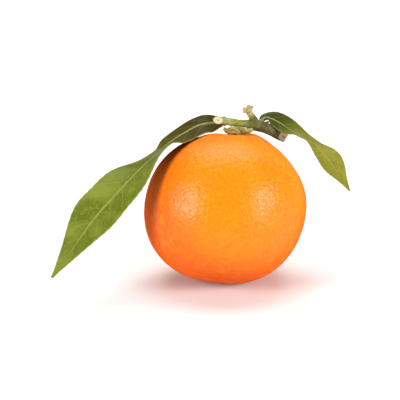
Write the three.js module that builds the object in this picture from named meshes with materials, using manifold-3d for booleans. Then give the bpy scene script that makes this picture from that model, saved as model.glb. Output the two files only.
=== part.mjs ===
// A mandarin picked with a scrap of its branch: the fruit, the calyx on its stem end, the cut twig and
// two leaves. Millimetres, +Z up. The fruit rests on a small flat spot, and the origin is the centre of
// that spot. The stem end leans back (+Y) and to the right (+X), so that the twig and its leaves lie over
// the top of the fruit.
import * as THREE from "three";
import { mergeVertices } from "three/addons/utils/BufferGeometryUtils.js";
import Module from "manifold-3d";

const wasm = await Module();
wasm.setup();

// ---------------------------------------------------------------- driving dimensions
const FRUIT_WIDTH = 59.2;
const FRUIT_HEIGHT = 55.7;
const LEAN_BACK = 17; // degrees, of the stem end away from the front
const LEAN_RIGHT = 9; // degrees, of the stem end towards +X
const REST_CUT = 0.8; // how far the weight presses the skin flat
const GAP = 0.3; // left between neighbouring pieces

const SKIN = {
  boxiness: 2.22, // the exponent of the profile: 2 is an ellipse, more has fuller shoulders
  stemDimple: 0.5,
  stemDimpleWidth: 6,
  tipDimple: 0.9,
  tipDimpleWidth: 4.5,
  furrow: 0.4, // the folds that run into the stem end
  furrows: 9,
  segment: 0.1, // the segments inside, just felt through the skin
  segments: 10,
  lump: 0.22,
  lopsided: 0.5, // how much fuller the +X side is than the other, above the middle
  fold: { height: 1.35, at: 0.19, width: 0.18 }, // a fold beside the stem end, on the +X side
  flat: { height: -1.0, at: 0.89, width: 0.31 }, // and a flatter place on the shoulder below it
  around: 68, // faces
  down: 38,
};

const CALYX = {
  reaches: [5.0, 5.4, 6.2, 5.2, 4.8], // from the axis to each sepal's tip
  tipLifts: [1.2, 2.0, 1.3, 0.5, 0.8], // how far each tip curls up off the skin
  halfWidth: 2.2,
  halfThickness: 1.35,
  cushionRadius: 3.0,
  cushionRise: 2.4,
};

const TWIG = {
  youngRadius: 1.25,
  oldRadius: 2.0,
  youngCut: { at: [-2.7, 6.15, 32.25], normal: [-0.35, -0.9, 0.25] }, // slanting, and facing the front
  oldCut: { at: [22.0, 14.5, 23.2], normal: [0.6, -0.78, -0.15] },
  sides: 14,
  steps: 34,
};
const PEDICEL_RADIUS = 1.3;
const SIDE_SHOOT_RADIUS = 1.35;

const BLADE_THICKNESS = 0.7;
// The half width of a blade at each tenth of its length, as a share of the widest.
const BLADE_OUTLINE = [0.2, 0.64, 0.79, 0.87, 0.93, 0.98, 1, 0.92, 0.67, 0.32, 0.05];

// ---------------------------------------------------------------- helpers
const radians = THREE.MathUtils.degToRad;
const point = (x, y, z) => new THREE.Vector3(x, y, z);
const curveThrough = (points) => new THREE.CatmullRomCurve3(points, false, "centripetal");

/** A closed three.js geometry as a manifold-3d solid. */
function solidOf(geometry) {
  const bare = geometry.clone();
  bare.deleteAttribute("normal");
  bare.deleteAttribute("uv");
  const merged = mergeVertices(bare, 1e-4);
  return new wasm.Manifold(
    new wasm.Mesh({
      numProp: 3,
      vertProperties: merged.attributes.position.array,
      triVerts: new Uint32Array(merged.index.array),
    }),
  );
}

/** A named mesh in its own finish, made of a manifold-3d solid. */
function piece(name, solid, colour, roughness) {
  const mesh = solid.getMesh();
  const geometry = new THREE.BufferGeometry()
    .setAttribute("position", new THREE.BufferAttribute(mesh.vertProperties, 3))
    .setIndex(new THREE.BufferAttribute(mesh.triVerts, 1));
  geometry.computeVertexNormals();
  const made = new THREE.Mesh(geometry, new THREE.MeshStandardMaterial({ color: colour, roughness }));
  made.name = name;
  return made;
}

/** The centre of a curve at a share of its length, and the ways along, across and up (by the hint). */
function framesAlong(curve, hintAt) {
  return (share) => {
    const along = curve.getTangentAt(share);
    const across = hintAt(share).clone().cross(along).normalize();
    return { centre: curve.getPointAt(share), along, across, up: along.clone().cross(across) };
  };
}

/**
 * A shoot along a curve: a cylinder bent to the frames. sizeAt gives its half width, its half height and
 * how far up from the curve it sits, at a share of its length.
 */
function shoot(frameAt, sizeAt, sides, steps) {
  const geometry = new THREE.CylinderGeometry(1, 1, 1, sides, steps);
  const places = geometry.attributes.position;
  const p = point(0, 0, 0);
  for (let i = 0; i < places.count; i++) {
    p.fromBufferAttribute(places, i);
    const share = THREE.MathUtils.clamp(p.y + 0.5, 0, 1);
    const { centre, across, up } = frameAt(share);
    const [halfWidth, halfHeight = halfWidth, offset = 0] = sizeAt(share);
    centre.addScaledVector(across, p.z * halfWidth).addScaledVector(up, p.x * halfHeight + offset);
    places.setXYZ(i, ...centre);
  }
  return solidOf(geometry);
}

/** A closed sheet from a grid of points on its upper face and the matching ones on its lower face. */
function sheet(upper, lower) {
  const rows = upper.length;
  const columns = upper[0].length;
  const top = (i, j) => i * columns + j;
  const under = (i, j) => (rows + i) * columns + j;
  const faces = [];
  const quad = (a, b, c, d) => faces.push(a, b, c, a, c, d);
  for (let i = 0; i < rows - 1; i++) {
    for (let j = 0; j < columns - 1; j++) {
      quad(top(i, j), top(i + 1, j), top(i + 1, j + 1), top(i, j + 1));
      quad(under(i, j), under(i, j + 1), under(i + 1, j + 1), under(i + 1, j));
    }
    quad(top(i, 0), under(i, 0), under(i + 1, 0), top(i + 1, 0));
    quad(top(i + 1, columns - 1), under(i + 1, columns - 1), under(i, columns - 1), top(i, columns - 1));
  }
  for (let j = 0; j < columns - 1; j++) {
    quad(top(0, j + 1), under(0, j + 1), under(0, j), top(0, j));
    quad(top(rows - 1, j), under(rows - 1, j), under(rows - 1, j + 1), top(rows - 1, j + 1));
  }
  const points = [...upper.flat(), ...lower.flat()];
  return solidOf(new THREE.BufferGeometry().setFromPoints(points).setIndex(faces));
}

// ---------------------------------------------------------------- the fruit
/** A soft swelling round a place on the +X side; at and width are angles at the middle, in radians. */
function swellingAt(polar, turn, { height, at, width }) {
  const centre = point(Math.sin(at), 0, Math.cos(at));
  const spot = point(Math.sin(polar) * Math.cos(turn), Math.sin(polar) * Math.sin(turn), Math.cos(polar));
  return height * Math.exp(-spot.distanceToSquared(centre) / width ** 2);
}

/** How far the skin is from the middle, at a polar angle from the stem end and a turn about the axis. */
function skinRadius(polar, turn) {
  const across = Math.sin(polar) / (FRUIT_WIDTH / 2);
  const along = Math.abs(Math.cos(polar)) / (FRUIT_HEIGHT / 2);
  const profile = (across ** SKIN.boxiness + along ** SKIN.boxiness) ** (-1 / SKIN.boxiness);
  const fromStem = polar * (FRUIT_HEIGHT / 2);
  const fromTip = (Math.PI - polar) * (FRUIT_HEIGHT / 2);
  const dimples =
    SKIN.stemDimple * Math.exp(-((fromStem / SKIN.stemDimpleWidth) ** 2)) +
    SKIN.tipDimple * Math.exp(-((fromTip / SKIN.tipDimpleWidth) ** 2));
  const nearStem = Math.exp(-(((fromStem - 10) / 5) ** 2));
  const folds = 0.6 * Math.cos(SKIN.furrows * turn) + 0.4 * Math.cos((SKIN.furrows - 4) * turn + 1.1);
  const furrows = SKIN.furrow * nearStem * folds;
  const round = Math.sin(polar) ** 2; // fades at both ends, where every turn meets
  const segments = SKIN.segment * round * Math.cos(SKIN.segments * turn + 0.4);
  const lumps =
    SKIN.lump *
    round *
    (Math.sin(3 * turn + 2.5 * polar) +
      0.6 * Math.sin(2 * turn - 4 * polar + 1) +
      0.5 * Math.cos(turn + 0.7));
  const lopsided = SKIN.lopsided * Math.sin(2 * polar) * Math.cos(turn);
  const uneven = swellingAt(polar, turn, SKIN.fold) + swellingAt(polar, turn, SKIN.flat);
  return profile - dimples + furrows + segments + lumps + lopsided + uneven;
}

/** The skin as a closed solid about its own axis (+Z at the stem end), grown outwards by an amount. */
function skinSolid(grown) {
  const ball = new THREE.SphereGeometry(1, SKIN.around, SKIN.down).rotateX(Math.PI / 2);
  const places = ball.attributes.position;
  const p = point(0, 0, 0);
  for (let i = 0; i < places.count; i++) {
    p.fromBufferAttribute(places, i).normalize();
    const polar = Math.acos(THREE.MathUtils.clamp(p.z, -1, 1));
    p.multiplyScalar(skinRadius(polar, Math.atan2(p.y, p.x)) + grown);
    places.setXYZ(i, p.x, p.y, p.z);
  }
  return solidOf(ball);
}

// The lean of the axis, and where it puts the lowest skin: the middle of the rest cut goes to the origin.
const lean = new THREE.Matrix4().makeRotationFromEuler(
  new THREE.Euler(radians(-LEAN_BACK), radians(LEAN_RIGHT), 0, "YXZ"),
);
const leaningSkin = skinSolid(0).transform(lean.elements);
const cutHeight = leaningSkin.boundingBox().min[2] + REST_CUT;
const pressed = leaningSkin.splitByPlane([0, 0, -1], -cutHeight)[0].boundingBox();
const middle = point(
  -(pressed.min[0] + pressed.max[0]) / 2,
  -(pressed.min[1] + pressed.max[1]) / 2,
  -cutHeight,
);

/** The fruit about its own axis, with the ground under it cut away. */
function makeFruit() {
  const ground = new THREE.BoxGeometry(4 * FRUIT_WIDTH, 4 * FRUIT_WIDTH, 20).translate(0, 0, -10);
  ground.translate(-middle.x, -middle.y, -middle.z).applyMatrix4(lean.clone().invert());
  return skinSolid(0).subtract(solidOf(ground));
}

// ---------------------------------------------------------------- the calyx
const sepals = CALYX.reaches.length;

/** One sepal, lying out from the axis over the skin with its tip curled up. No two are alike. */
function makeSepal(index) {
  const turn = Math.PI + (2 * Math.PI * index) / sepals + 0.12 * Math.sin(3 * index + 1);
  const reach = CALYX.reaches[index];
  const lift = CALYX.tipLifts[index];
  const away = (distance, rise) => {
    const seat = skinRadius(distance / (FRUIT_HEIGHT / 2), turn);
    return point(distance * Math.cos(turn), distance * Math.sin(turn), seat - 0.02 * distance ** 2 + rise);
  };
  const spine = curveThrough([away(0.6, 1.1), away(0.55 * reach, 1.0), away(reach, 0.8 + lift)]);
  const sizeAt = (t) => [
    CALYX.halfWidth * (0.66 + 0.9 * t - 1.1 * t ** 3),
    CALYX.halfThickness * (1 - 0.6 * t ** 2),
  ];
  return shoot(framesAlong(spine, () => point(0, 0, 1)), sizeAt, 10, 7);
}

function makeCalyx() {
  const profile = [
    [0, 0],
    [CALYX.cushionRadius + 0.6, 0],
    [CALYX.cushionRadius + 0.2, CALYX.cushionRise * 0.55],
    [CALYX.cushionRadius * 0.8, CALYX.cushionRise * 0.9],
    [CALYX.cushionRadius * 0.5, CALYX.cushionRise],
    [0, CALYX.cushionRise],
  ];
  const seat = skinRadius(0, 0) + GAP;
  const cushion = new THREE.LatheGeometry(profile.map((p) => new THREE.Vector2(...p)), 18);
  let calyx = solidOf(cushion.rotateX(Math.PI / 2).translate(0, 0, seat));
  for (let i = 0; i < sepals; i++) {
    calyx = calyx.add(makeSepal(i));
  }
  return calyx.subtract(skinSolid(GAP));
}

// ---------------------------------------------------------------- the twig
// The twig and the leaves are given from the middle of the fruit.
const route = (places) => curveThrough(places.map((p) => point(...p)));
const upwards = () => point(0, 0, 1);
const backwards = () => point(0, 1, 0);

const branchRoute = route([
  [-5.6, 5.0, 33.0],
  [0.4, 7.4, 31.5],
  [5.2, 9.2, 30.3],
  [10.4, 11.0, 29.2],
  [16.4, 12.8, 26.8],
  [23.0, 14.8, 22.4],
]);
const axis = point(0, 0, 1).transformDirection(lean);
const pedicelFoot = axis.clone().multiplyScalar(skinRadius(0, 0) + GAP + CALYX.cushionRise + GAP);
const pedicelRoute = new THREE.LineCurve3(pedicelFoot, pedicelFoot.clone().addScaledVector(axis, 2.0));
const sideShootRoute = route([
  [12.6, 11.6, 28.2],
  [10.9, 10.9, 30.8],
  [9.3, 10.2, 33.4],
  [8.4, 9.6, 35.4],
]);
const leafJoints = { left: [2.2, 8.4, 31.0], right: [12.4, 12.4, 28.9] };

/**
 * The branch: young and thin on the left, older past the side shoot, with a swelling where each leaf
 * joins it, a slight flare at the first cut end, and a taper at the second.
 */
function makeBranch(grown) {
  const swelling = (t, where, width) => Math.exp(-(((t - where) / width) ** 2));
  const radiusAt = (t) => {
    const age = THREE.MathUtils.smoothstep(t, 0.36, 0.62);
    const knots = 0.14 * swelling(t, 0.26, 0.06) + 0.12 * swelling(t, 0.55, 0.07);
    const ends = 0.2 * swelling(t, 0.05, 0.08) - 0.2 * THREE.MathUtils.smoothstep(t, 0.85, 1);
    return THREE.MathUtils.lerp(TWIG.youngRadius, TWIG.oldRadius, age) * (1 + knots + ends);
  };
  return shoot(framesAlong(branchRoute, upwards), (t) => [radiusAt(t) + grown], TWIG.sides, TWIG.steps);
}

/** What is left of a solid behind a flat cut. */
function cutOff(solid, { at, normal }) {
  const out = point(...normal).normalize();
  return solid.trimByPlane(out.clone().negate().toArray(), -out.dot(point(...at)));
}

/** A small pointed bud in the angle between a leaf and the branch. */
function makeBud(where, way) {
  const line = new THREE.LineCurve3(where, where.clone().add(way));
  return shoot(framesAlong(line, backwards), (t) => [0.95 * Math.sqrt(1 - 0.93 * t * t)], 8, 5);
}

/** The end of the side shoot, where a flower dropped: a shallow cup. */
function makeSideShootEnd() {
  const top = sideShootRoute.getPointAt(1);
  const turned = new THREE.Quaternion().setFromUnitVectors(point(0, 0, 1), sideShootRoute.getTangentAt(1));
  const profile = [
    [0, -0.9],
    [1.1, -0.8],
    [2.2, 0.2],
    [2.6, 1.2],
    [1.5, 1.0],
    [0, 0.6],
  ];
  const cup = new THREE.LatheGeometry(profile.map((p) => new THREE.Vector2(...p)), 14).rotateX(Math.PI / 2);
  return solidOf(cup.applyQuaternion(turned).translate(top.x, top.y, top.z));
}

function makeTwig() {
  const pedicelSize = (t) => [PEDICEL_RADIUS * (1.12 - 0.4 * t)];
  const sideShootSize = (t) => [SIDE_SHOOT_RADIUS * (1.1 - 0.25 * t)];
  return cutOff(cutOff(makeBranch(0), TWIG.youngCut), TWIG.oldCut)
    .add(shoot(framesAlong(pedicelRoute, backwards), pedicelSize, 12, 6))
    .add(shoot(framesAlong(sideShootRoute, backwards), sideShootSize, 12, 8))
    .add(makeSideShootEnd())
    .add(makeBud(point(0.6, 7.7, 31.6), point(-1.6, -0.3, 1.7)))
    .add(makeBud(point(14.4, 11.6, 28.6), point(1.6, -1.2, 1.9)));
}

// ---------------------------------------------------------------- the leaves
/**
 * A leaf at stations along its midrib, from the petiole to the tip: where it is from the middle of the
 * fruit, which way its upper side looks there, and how many degrees each half stands up from flat.
 */
const LEAVES = {
  left: {
    halfWidth: 9.6,
    petioleShare: 0.035,
    petioleRadius: 0.95,
    wave: 0.55,
    waves: 4.5,
    rows: 34,
    stations: [
      { at: leafJoints.left, facing: [0, -0.3, 1], fold: 0 },
      { at: [-3.2, 10.2, 30.1], facing: [-0.2, -0.7, 0.72], fold: 1 },
      { at: [-9.4, 8.2, 29.8], facing: [-0.36, -0.32, 0.86], fold: -2 },
      { at: [-16.0, 5.2, 27.1], facing: [-0.4, -0.21, 0.9], fold: -3 },
      { at: [-19.6, 2.8, 25.4], facing: [-0.46, -0.06, 0.89], fold: -2 },
      { at: [-22.9, 0.2, 23.5], facing: [-0.64, 0.14, 0.75], fold: 1 },
      { at: [-32.4, -7.6, 16.4], facing: [-0.46, -0.25, 0.85], fold: 6 },
      { at: [-40.2, -13.9, 9.6], facing: [-0.28, -0.53, 0.8], fold: 10 },
      { at: [-48.1, -19.7, 2.0], facing: [-0.28, -0.66, 0.69], fold: 12 },
      { at: [-55.4, -24.5, -7.2], facing: [-0.33, -0.7, 0.64], fold: 12 },
      { at: [-62.9, -29.2, -16.7], facing: [-0.36, -0.69, 0.63], fold: 10 },
    ],
  },
  right: {
    halfWidth: 6.0,
    petioleShare: 0.05,
    petioleRadius: 0.8,
    wave: 0.4,
    waves: 3.5,
    rows: 26,
    stations: [
      { at: leafJoints.right, facing: [0.1, -0.2, 1], fold: 0 },
      { at: [15.0, 15.4, 30.6], facing: [0, -0.22, 0.97], fold: 8 },
      { at: [19.0, 15.5, 29.3], facing: [0.3, -0.45, 0.83], fold: 10 },
      { at: [25.0, 13.2, 26.0], facing: [0.4, -0.33, 0.85], fold: 8 },
      { at: [31.8, 8.4, 23.4], facing: [0.55, 0.1, 0.83], fold: 5 },
      { at: [36.4, 4.4, 19.8], facing: [0.5, -0.45, 0.72], fold: 8 },
      { at: [41.0, 0.8, 14.4], facing: [0.42, -0.7, 0.57], fold: 9 },
      { at: [45.8, -2.6, 7.8], facing: [0.42, -0.74, 0.52], fold: 8 },
    ],
  },
};

/** The frames of a leaf, and its fold in degrees, both at a share of its length. */
function layOut(leaf) {
  const spine = route(leaf.stations.map((station) => station.at));
  const looks = curveThrough(leaf.stations.map((station) => point(...station.facing)));
  const folds = new THREE.SplineCurve(leaf.stations.map((station) => new THREE.Vector2(0, station.fold)));
  const frameAt = framesAlong(spine, (share) => looks.getPoint(spine.getUtoTmapping(share)));
  const foldAt = (share) => radians(folds.getPoint(spine.getUtoTmapping(share)).y);
  return { frameAt, foldAt };
}

function makeBlade(leaf, { frameAt, foldAt }) {
  const outline = new THREE.SplineCurve(BLADE_OUTLINE.map((share, i) => new THREE.Vector2(i, share)));
  const columns = 8;
  const upper = [];
  const lower = [];
  for (let i = 0; i <= leaf.rows; i++) {
    const t = i / leaf.rows;
    const share = THREE.MathUtils.lerp(leaf.petioleShare, 1, t);
    const { centre, across, up } = frameAt(share);
    const fold = foldAt(share);
    const half = leaf.halfWidth * outline.getPoint(t).y;
    const place = (v, offset) => {
      const out = Math.abs(v) * half;
      const phase = v > 0 ? 3.4 : 0; // the two margins wave out of step
      const swing = Math.sin(2 * Math.PI * leaf.waves * t + phase);
      const ripple = leaf.wave * v * v * Math.sin(Math.PI * t) * swing;
      const lift = out * Math.sin(fold) * (1.1 - 0.1 * Math.abs(v)) + ripple;
      const sideways = v * half * Math.cos(fold);
      return centre.clone().addScaledVector(across, sideways).addScaledVector(up, lift + offset);
    };
    const marks = Array.from({ length: columns + 1 }, (_, j) => (2 * j) / columns - 1);
    upper.push(marks.map((v) => place(v, BLADE_THICKNESS / 2)));
    lower.push(marks.map((v) => place(v, -BLADE_THICKNESS / 2)));
  }
  return sheet(upper, lower);
}

/** The petiole and the rib that it becomes under the blade, as one tapering shoot. */
function makeRib(leaf, { frameAt }) {
  const sizeAt = (t) => {
    const radius = leaf.petioleRadius * (1 - 0.72 * Math.sqrt(t));
    return [radius, radius, -0.32 * THREE.MathUtils.smoothstep(t, 0, leaf.petioleShare * 1.6)];
  };
  return shoot((t) => frameAt(0.97 * t), sizeAt, 8, 28);
}

function makeLeaf(leaf) {
  const layout = layOut(leaf);
  return makeBlade(leaf, layout).add(makeRib(leaf, layout)).subtract(makeBranch(GAP));
}

// ---------------------------------------------------------------- the mandarin
const aboutAxis = new THREE.Group(); // what is made about the fruit's own axis
aboutAxis.setRotationFromMatrix(lean);
aboutAxis.position.copy(middle);
aboutAxis.add(piece("fruit", makeFruit(), 0xf58a12, 0.42));
aboutAxis.add(piece("calyx", makeCalyx(), 0x8f9a4c, 0.7));

const overFruit = new THREE.Group(); // what is given from its middle, upright
overFruit.position.copy(middle);
overFruit.add(piece("twig", makeTwig(), 0x7d8a4a, 0.75));
overFruit.add(piece("leaf_left", makeLeaf(LEAVES.left), 0x4f7a2a, 0.4));
overFruit.add(piece("leaf_right", makeLeaf(LEAVES.right), 0x6f8f34, 0.42));

const mandarin = new THREE.Group();
mandarin.add(aboutAxis, overFruit);

export default mandarin;
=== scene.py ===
# %% [markdown]
# # A mandarin on a scrap of its branch
#
# A CAD model gives this fruit its sizes: a round fruit on a small flat spot, the star of sepals on
# its stem end, a cut piece of branch, and two leaves. Here each of those plain solids is replaced
# by a piece that looks grown: skin with its oil glands, knobbly sepals, bark with pale cut ends,
# and thin leaves with veins.
#
# Lengths are in millimetres, and are turned into Blender's metres at the last step, when points
# are put into a mesh.

# %% Load the CAD model
import math
import random

import bpy
import numpy as np
from mathutils import Matrix, Vector, noise
from mathutils.kdtree import KDTree


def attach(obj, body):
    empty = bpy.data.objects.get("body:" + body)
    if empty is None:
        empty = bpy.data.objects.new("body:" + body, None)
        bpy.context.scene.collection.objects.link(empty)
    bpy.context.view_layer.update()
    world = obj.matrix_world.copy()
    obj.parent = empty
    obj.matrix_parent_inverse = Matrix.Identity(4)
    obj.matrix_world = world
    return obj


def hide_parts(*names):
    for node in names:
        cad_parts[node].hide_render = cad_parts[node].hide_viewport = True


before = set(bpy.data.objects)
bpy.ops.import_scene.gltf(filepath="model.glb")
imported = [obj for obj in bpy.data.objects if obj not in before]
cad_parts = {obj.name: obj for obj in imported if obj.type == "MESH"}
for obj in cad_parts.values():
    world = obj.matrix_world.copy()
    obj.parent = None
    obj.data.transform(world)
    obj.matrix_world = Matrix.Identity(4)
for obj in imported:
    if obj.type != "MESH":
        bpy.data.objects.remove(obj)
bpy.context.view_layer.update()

print("CAD nodes:", sorted(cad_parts))

# %% [markdown]
# ## Small tools
#
# Blender's operators act on whatever is selected, so each step first selects one piece alone. The
# other helpers read and write all the points of a mesh at once. A fruit is not a machined thing,
# and its uneven surfaces are made by moving points by a rule.

# %% Select and finish
MM = 0.001
MIDDLE = Vector((-0.234, -2.644, 27.574))  # of the fruit, from its resting spot, in mm


def select_only(piece):
    bpy.ops.object.select_all(action="DESELECT")
    piece.select_set(True)
    bpy.context.view_layer.objects.active = piece


def named(name):
    """The piece that an operator has just added, under its own name."""
    piece = bpy.context.object
    piece.name = name
    piece.data.name = name
    return piece


def finish_with(piece, modifier_type, **settings):
    """Adds a modifier to the piece and applies it."""
    select_only(piece)
    bpy.ops.object.modifier_add(type=modifier_type)
    modifier = piece.modifiers[-1]
    for name, value in settings.items():
        setattr(modifier, name, value)
    bpy.ops.object.modifier_apply(modifier=modifier.name)


# %% Read, write and paint points
def rows_of(piece, what):
    """The places ("co") or the normals ("normal") of a piece's points, as an array of rows."""
    flat = np.zeros(3 * len(piece.data.vertices), np.float32)
    piece.data.vertices.foreach_get(what, flat)
    return flat.reshape(-1, 3)


def points_of(piece):
    """The points of a piece, in mm."""
    return rows_of(piece, "co").astype(float) / MM


def set_points(piece, points):
    flat = (np.asarray(points) * MM).astype(np.float32).ravel()
    piece.data.vertices.foreach_set("co", flat)
    piece.data.update()


def paint(piece, name, values):
    """Keeps one number for each point of a piece, for its material to read."""
    layer = piece.data.attributes.new(name, "FLOAT", "POINT")
    layer.data.foreach_set("value", np.asarray(values, np.float32))


def triangles(piece):
    return sum(len(face.vertices) - 2 for face in piece.data.polygons)


# %% [markdown]
# ## The skin
#
# A mandarin is a flattened ball with full shoulders, a shallow hollow where the stem is, short
# furrows running into it, and a small dimple at the other end. No fruit grows quite even: this one
# has a stronger fold beside the stem and a flatter place on the shoulder below it. The rule below
# says how far the skin is from the middle in every direction. The CAD solid follows the same rule,
# so the finer skin lies exactly over it.

# %% The sizes of the skin
FRUIT_WIDTH = 59.2
FRUIT_HEIGHT = 55.7
BOXINESS = 2.22  # 2 would be an ellipse, and more has fuller shoulders
# The stem end leans to the right and back
LEAN = Matrix.Rotation(math.radians(9), 3, "Y") @ Matrix.Rotation(math.radians(-17), 3, "X")
AXIS = LEAN @ Vector((0, 0, 1))

# Depths, distances and widths in mm
STEM_HOLLOW_DEPTH, STEM_HOLLOW_WIDTH = 0.5, 6
TIP_DIMPLE_DEPTH, TIP_DIMPLE_WIDTH = 0.9, 4.5
FURROW_DEPTH, FURROW_FROM_STEM, FURROW_WIDTH = 0.4, 10, 5
SEGMENT_COUNT, SEGMENT_DEPTH = 10, 0.1
LUMP_DEPTH = 0.22
LOPSIDED_BY = 0.5

# A height in mm, then the angle from the stem end and the width, in radians
FOLD_HEIGHT, FOLD_PLACE, FOLD_WIDTH = 1.35, 0.19, 0.18
FLAT_DEPTH, FLAT_PLACE, FLAT_WIDTH = 1.0, 0.89, 0.31


# %% The shape of the skin
def hill(value, where, width):
    """1 where the value is in the middle of a swelling, and softly down to 0 away from it."""
    return np.exp(-(((value - where) / width) ** 2))


def swelling(polar, turn, place, width):
    """A soft round swelling on the +X side, from 1 at its middle down to 0."""
    x = np.sin(polar) * np.cos(turn) - math.sin(place)
    y = np.sin(polar) * np.sin(turn)
    z = np.cos(polar) - math.cos(place)
    return np.exp(-(x**2 + y**2 + z**2) / width**2)


def skin_radius(polar, turn):
    """How far the skin is from the middle, at an angle from the stem end and about the axis."""
    across = np.sin(polar) / (FRUIT_WIDTH / 2)
    along = np.abs(np.cos(polar)) / (FRUIT_HEIGHT / 2)
    profile = (across**BOXINESS + along**BOXINESS) ** (-1 / BOXINESS)
    from_stem = polar * (FRUIT_HEIGHT / 2)
    from_tip = (np.pi - polar) * (FRUIT_HEIGHT / 2)
    dimples = STEM_HOLLOW_DEPTH * hill(from_stem, 0, STEM_HOLLOW_WIDTH)
    dimples = dimples + TIP_DIMPLE_DEPTH * hill(from_tip, 0, TIP_DIMPLE_WIDTH)
    furrows = FURROW_DEPTH * hill(from_stem, FURROW_FROM_STEM, FURROW_WIDTH)
    furrows = furrows * (0.6 * np.cos(9 * turn) + 0.4 * np.cos(5 * turn + 1.1))
    fade = np.sin(polar) ** 2
    segments = SEGMENT_DEPTH * fade * np.cos(SEGMENT_COUNT * turn + 0.4)
    # Three slow waves that never meet in the same way, so that no two sides are alike
    lumps = np.sin(3 * turn + 2.5 * polar) + 0.6 * np.sin(2 * turn - 4 * polar + 1)
    lumps = lumps + 0.5 * np.cos(turn + 0.7)
    lopsided = LOPSIDED_BY * np.sin(2 * polar) * np.cos(turn)
    fold = FOLD_HEIGHT * swelling(polar, turn, FOLD_PLACE, FOLD_WIDTH)
    flat = FLAT_DEPTH * swelling(polar, turn, FLAT_PLACE, FLAT_WIDTH)
    radius = profile - dimples + furrows + segments + LUMP_DEPTH * fade * lumps
    return radius + lopsided + fold - flat


def from_axis(points):
    """Points about the fruit's own axis, brought to where the fruit rests."""
    return np.asarray(points) @ np.array(LEAN).T + np.array(MIDDLE)


STEM_SEAT = float(skin_radius(0.0, 0.0))
print("the skin is", round(float(2 * skin_radius(np.pi / 2, 0.5)), 1), "mm across")
print("its stem end is", round(STEM_SEAT, 2), "mm from the middle")

# %% [markdown]
# ### A ball of even squares
#
# The usual sphere has poles where its faces crowd together, and the stem end would show them. A
# cube that is subdivided and cast to a sphere has faces of nearly one size all over, which is what
# fine relief needs.

# %% Cube to ball
BALL_RADIUS = 30
PEEL_LEVELS = 7

bpy.ops.mesh.primitive_cube_add(size=2 * BALL_RADIUS * MM)
peel = named("peel")
finish_with(peel, "SUBSURF", levels=PEEL_LEVELS, render_levels=PEEL_LEVELS)
finish_with(
    peel, "CAST", cast_type="SPHERE", factor=1, radius=BALL_RADIUS * MM, use_radius_as_size=False
)
directions = points_of(peel)
directions /= np.linalg.norm(directions, axis=1)[:, None]
print("peel:", triangles(peel), "triangles")

# %% [markdown]
# ### Oil glands
#
# Citrus skin is covered by tiny pits, one over each oil gland, a little over a millimetre apart.
# They lie evenly but in no pattern. A spiral of points that are each nudged at random gives such a
# spread, and every point of the mesh then sinks by how near it is to the nearest pit.

# %% Spread the pits
SKIN_DISTANCE = 29  # of the skin from the middle, about, in mm
PIT_COUNT = 9400
PIT_NUDGE = 0.2
PIT_SIZES = [0.55, 0.75, 0.9, 1, 1, 1.15, 1.35]

random.seed(4)
golden_turn = math.pi * (3 - math.sqrt(5))
pits = KDTree(PIT_COUNT)
pit_sizes = []
for i in range(PIT_COUNT):
    height = 1 - (2 * i + 1) / PIT_COUNT
    ring = math.sqrt(1 - height * height)
    way = Vector((ring * math.cos(i * golden_turn), ring * math.sin(i * golden_turn), height))
    nudge = Vector([random.gauss(0, PIT_NUDGE) for _ in range(3)])
    pits.insert(way * SKIN_DISTANCE + nudge, i)
    pit_sizes.append(random.choice(PIT_SIZES))
pits.balance()
print("pits:", PIT_COUNT)

# %% Sink the pits
PIT_DEPTH = 0.17
UNEVENNESS_DEPTH = 0.07

pit_depth = np.zeros(len(directions))
unevenness = np.zeros(len(directions))
for i, direction in enumerate(directions):
    spot = Vector(direction) * SKIN_DISTANCE
    _, nearest, distance = pits.find(spot)
    size = pit_sizes[nearest]
    pit_depth[i] = size * hill(distance, 0, 0.3 + 0.12 * size)  # a deep pit is a wide one
    unevenness[i] = noise.fractal(spot * 0.3, 0.9, 2.1, 3)

polar = np.arccos(np.clip(directions[:, 2], -1, 1))
turn = np.arctan2(directions[:, 1], directions[:, 0])
reach = skin_radius(polar, turn) - PIT_DEPTH * pit_depth + UNEVENNESS_DEPTH * unevenness
skin = from_axis(directions * reach[:, None])
skin[:, 2] = np.maximum(skin[:, 2], 0)  # pressed flat where it rests
set_points(peel, skin)
select_only(peel)
bpy.ops.object.shade_smooth()
print("the deepest pit is", round(PIT_DEPTH * pit_depth.max(), 3), "mm")

# %% Paint the places that differ in colour
# towards the lamps, where the painted shade on the skin is least
PALE_WAY = Vector((0.25, -0.8, 0.58)).normalized()  # forwards and up, where the skin is palest
END_RADIUS = 28  # mm of skin for each radian, near the stem end and the tip
STEM_END_WIDTH = 9
SCAR_WIDTH = 1.3

to_pale_side = (skin - np.array(MIDDLE)) @ np.array(PALE_WAY) / SKIN_DISTANCE
# partly the fruit's own blush and partly painted shade: darker and redder away from the lamps, low
# down and round the sides
blush_and_shade = np.clip((0.95 - to_pale_side) / 0.85, 0, 1)
blush_and_shade = blush_and_shade * (1 - 0.5 * np.clip(-to_pale_side, 0, 1))  # it fades again round the back
marks = {
    "pit": np.clip(pit_depth, 0, 1),
    "stem_end": hill(polar * END_RADIUS, 0, STEM_END_WIDTH),
    "blush_and_shade": blush_and_shade,
    "blossom_scar": hill((np.pi - polar) * END_RADIUS, 0, SCAR_WIDTH),
}
for name, values in marks.items():
    paint(peel, name, values)
print("painted on the peel:", list(marks))

# %% [markdown]
# ## Shoots
#
# Branch, pedicel, petioles, ribs and sepals are all long round things that bend and taper. A
# bevelled curve would be as thick as it is wide, and sepals are flat. So each is a cylinder that is
# cut into rings in edit mode, and the rings are laid along a route, each with its own width and
# height. The route is a smooth curve through a few places, walked by the share of its length.

# %% A route through a few places
def cubic(start, end, leave, arrive, w):
    """A smooth change from start to end, with the rates that it leaves and arrives with."""
    curve = -3 * start + 3 * end - 2 * leave - arrive
    return start + leave * w + curve * w**2 + (2 * start - 2 * end + leave + arrive) * w**3


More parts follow.
